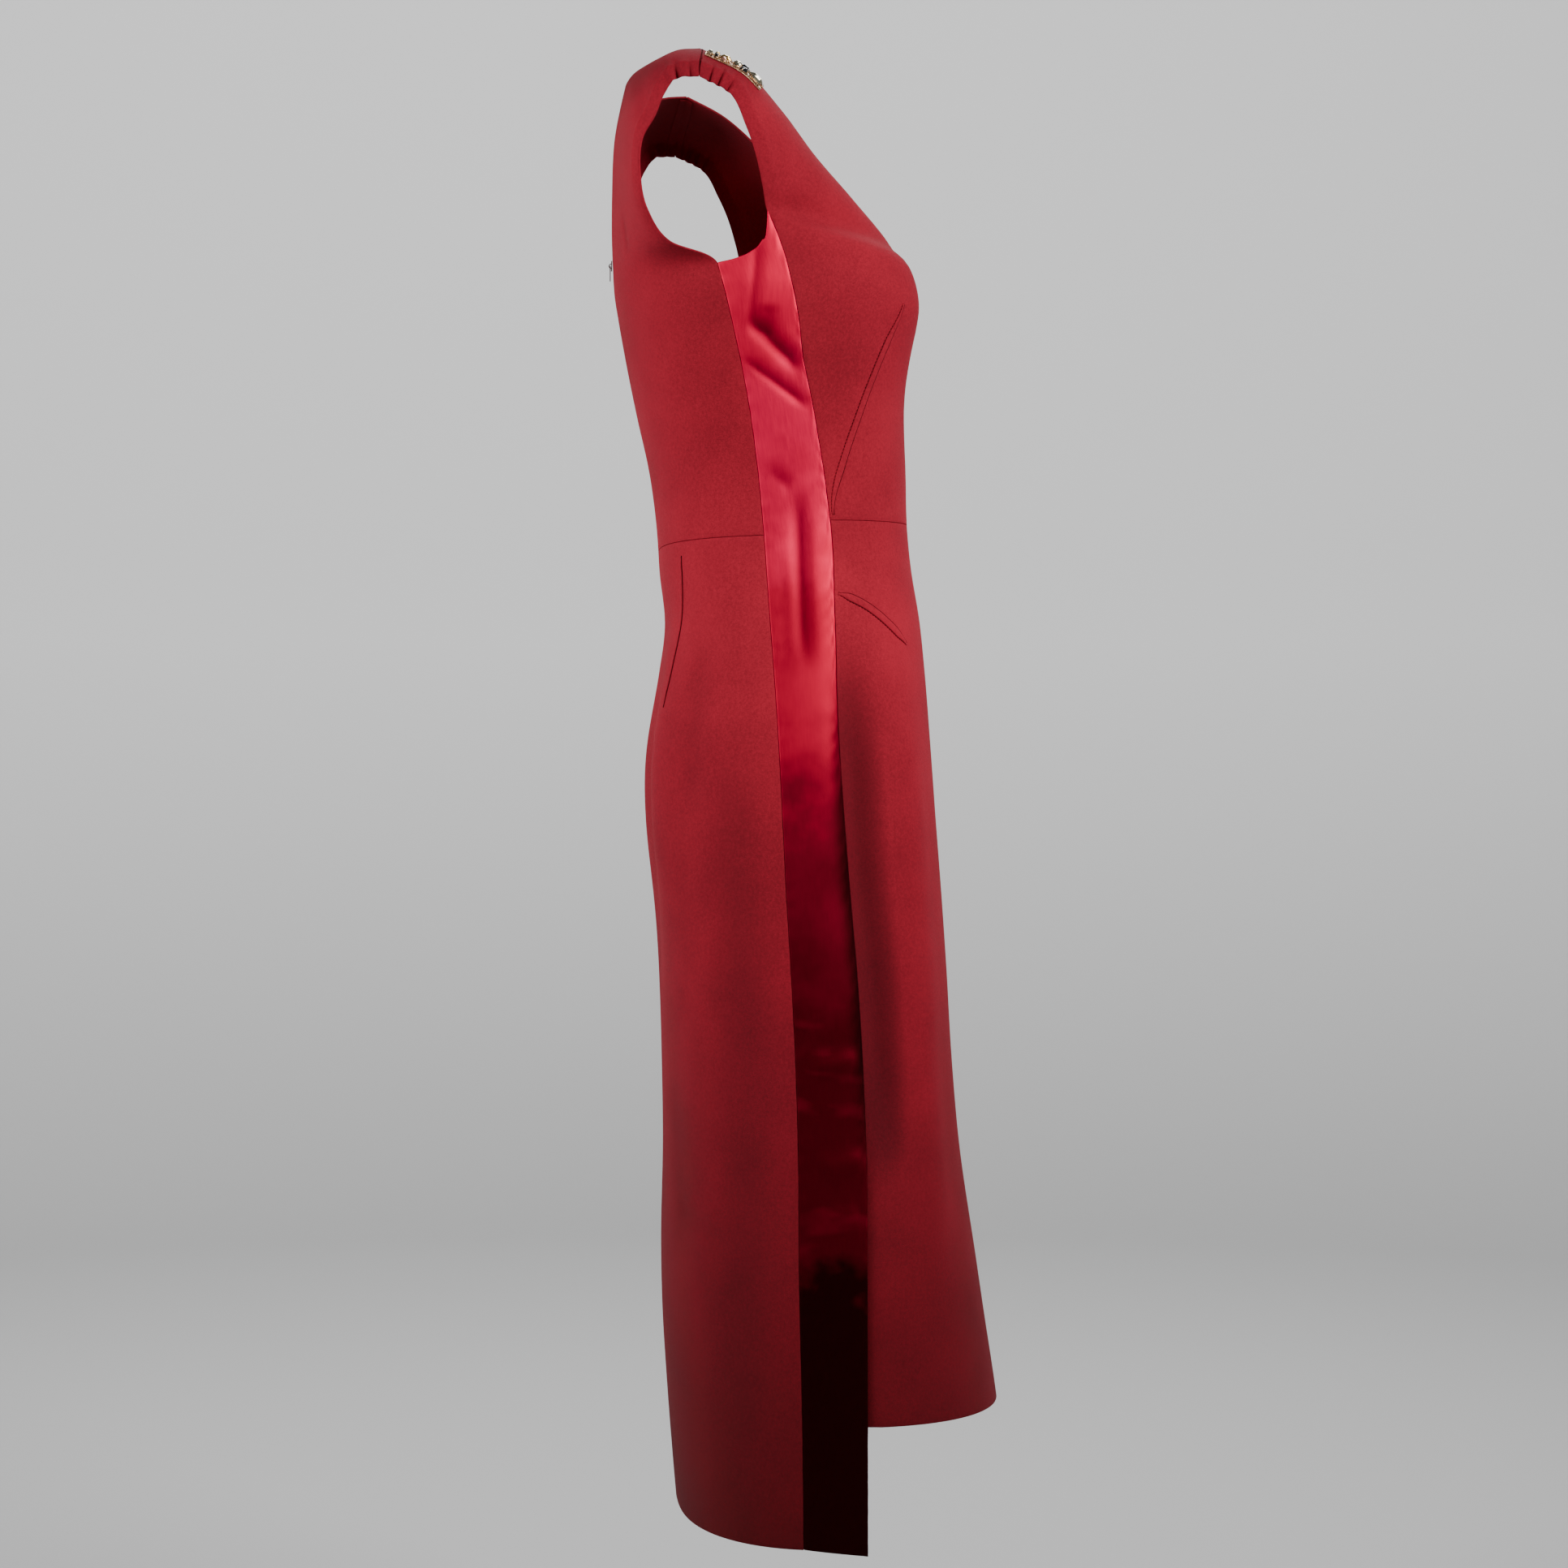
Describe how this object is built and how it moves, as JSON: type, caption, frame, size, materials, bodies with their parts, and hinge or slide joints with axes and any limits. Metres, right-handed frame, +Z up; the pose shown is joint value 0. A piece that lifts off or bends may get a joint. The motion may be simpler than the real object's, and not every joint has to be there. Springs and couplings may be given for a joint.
{
  "type": "sleeveless dress",
  "caption": "Sleeveless midi dress in its worn hollow form, with satin side panels, topstitched darts, jewelled straps and a closed back zip.",
  "frame": {"origin": "on the midline, level with the neck-side ends of the shoulder seams, where the dress is held up", "axes": "+Z up, the front faces -Y, the wearer's right is -X"},
  "size_m": [0.3774, 0.3314, 1.2363],
  "materials": {
    "crepe": "matte dark red crepe",
    "satin": "lustrous crimson satin",
    "stitched_crepe": "matte crepe with topstitching",
    "setting_metal": "aged gilt metal",
    "clear_stone": "clear cut glass",
    "black_stone": "glossy black cut stone",
    "gold_stone": "champagne cut stone",
    "rose_stone": "pale pink cut stone",
    "enamelled_metal": "dark maroon enamel"
  },
  "bodies": {
    "dress": {"front_bodice": "crepe", "front_skirt": "crepe", "back_bodice_right": "crepe", "back_skirt_right": "crepe", "side_panel_right": "satin", "bust_dart_right": "stitched_crepe", "hip_dart_right": "stitched_crepe", "back_dart_right": "stitched_crepe", "jewel_setting_right": "setting_metal", "stone_drop_right": "clear_stone", "stone_leaf_upper_right": "black_stone", "stone_leaf_lower_right": "black_stone", "stone_heart_right": "clear_stone", "stone_oval_right": "gold_stone", "stone_rose_right": "rose_stone", "stone_gold_upper_right": "gold_stone", "stone_black_round_right": "black_stone", "stone_fan_right": "clear_stone", "back_bodice_left": "crepe", "back_skirt_left": "crepe", "side_panel_left": "satin", "bust_dart_left": "stitched_crepe", "hip_dart_left": "stitched_crepe", "back_dart_left": "stitched_crepe", "jewel_setting_left": "setting_metal", "stone_drop_left": "clear_stone", "stone_leaf_upper_left": "black_stone", "stone_leaf_lower_left": "black_stone", "stone_heart_left": "clear_stone", "stone_oval_left": "gold_stone", "stone_rose_left": "rose_stone", "stone_gold_upper_left": "gold_stone", "stone_black_round_left": "black_stone", "stone_fan_left": "clear_stone", "zip_slider": "enamelled_metal"},
    "pull_tab": {"zip_pull": "enamelled_metal"}
  },
  "joints": [
    {"name": "zip_pull_swing", "type": "hinge", "parent": "dress", "child": "pull_tab", "pos_m": [0, 0.06672, -0.1645], "axis": [1, 0, 0], "range_deg": [0, 150]}
  ]
}
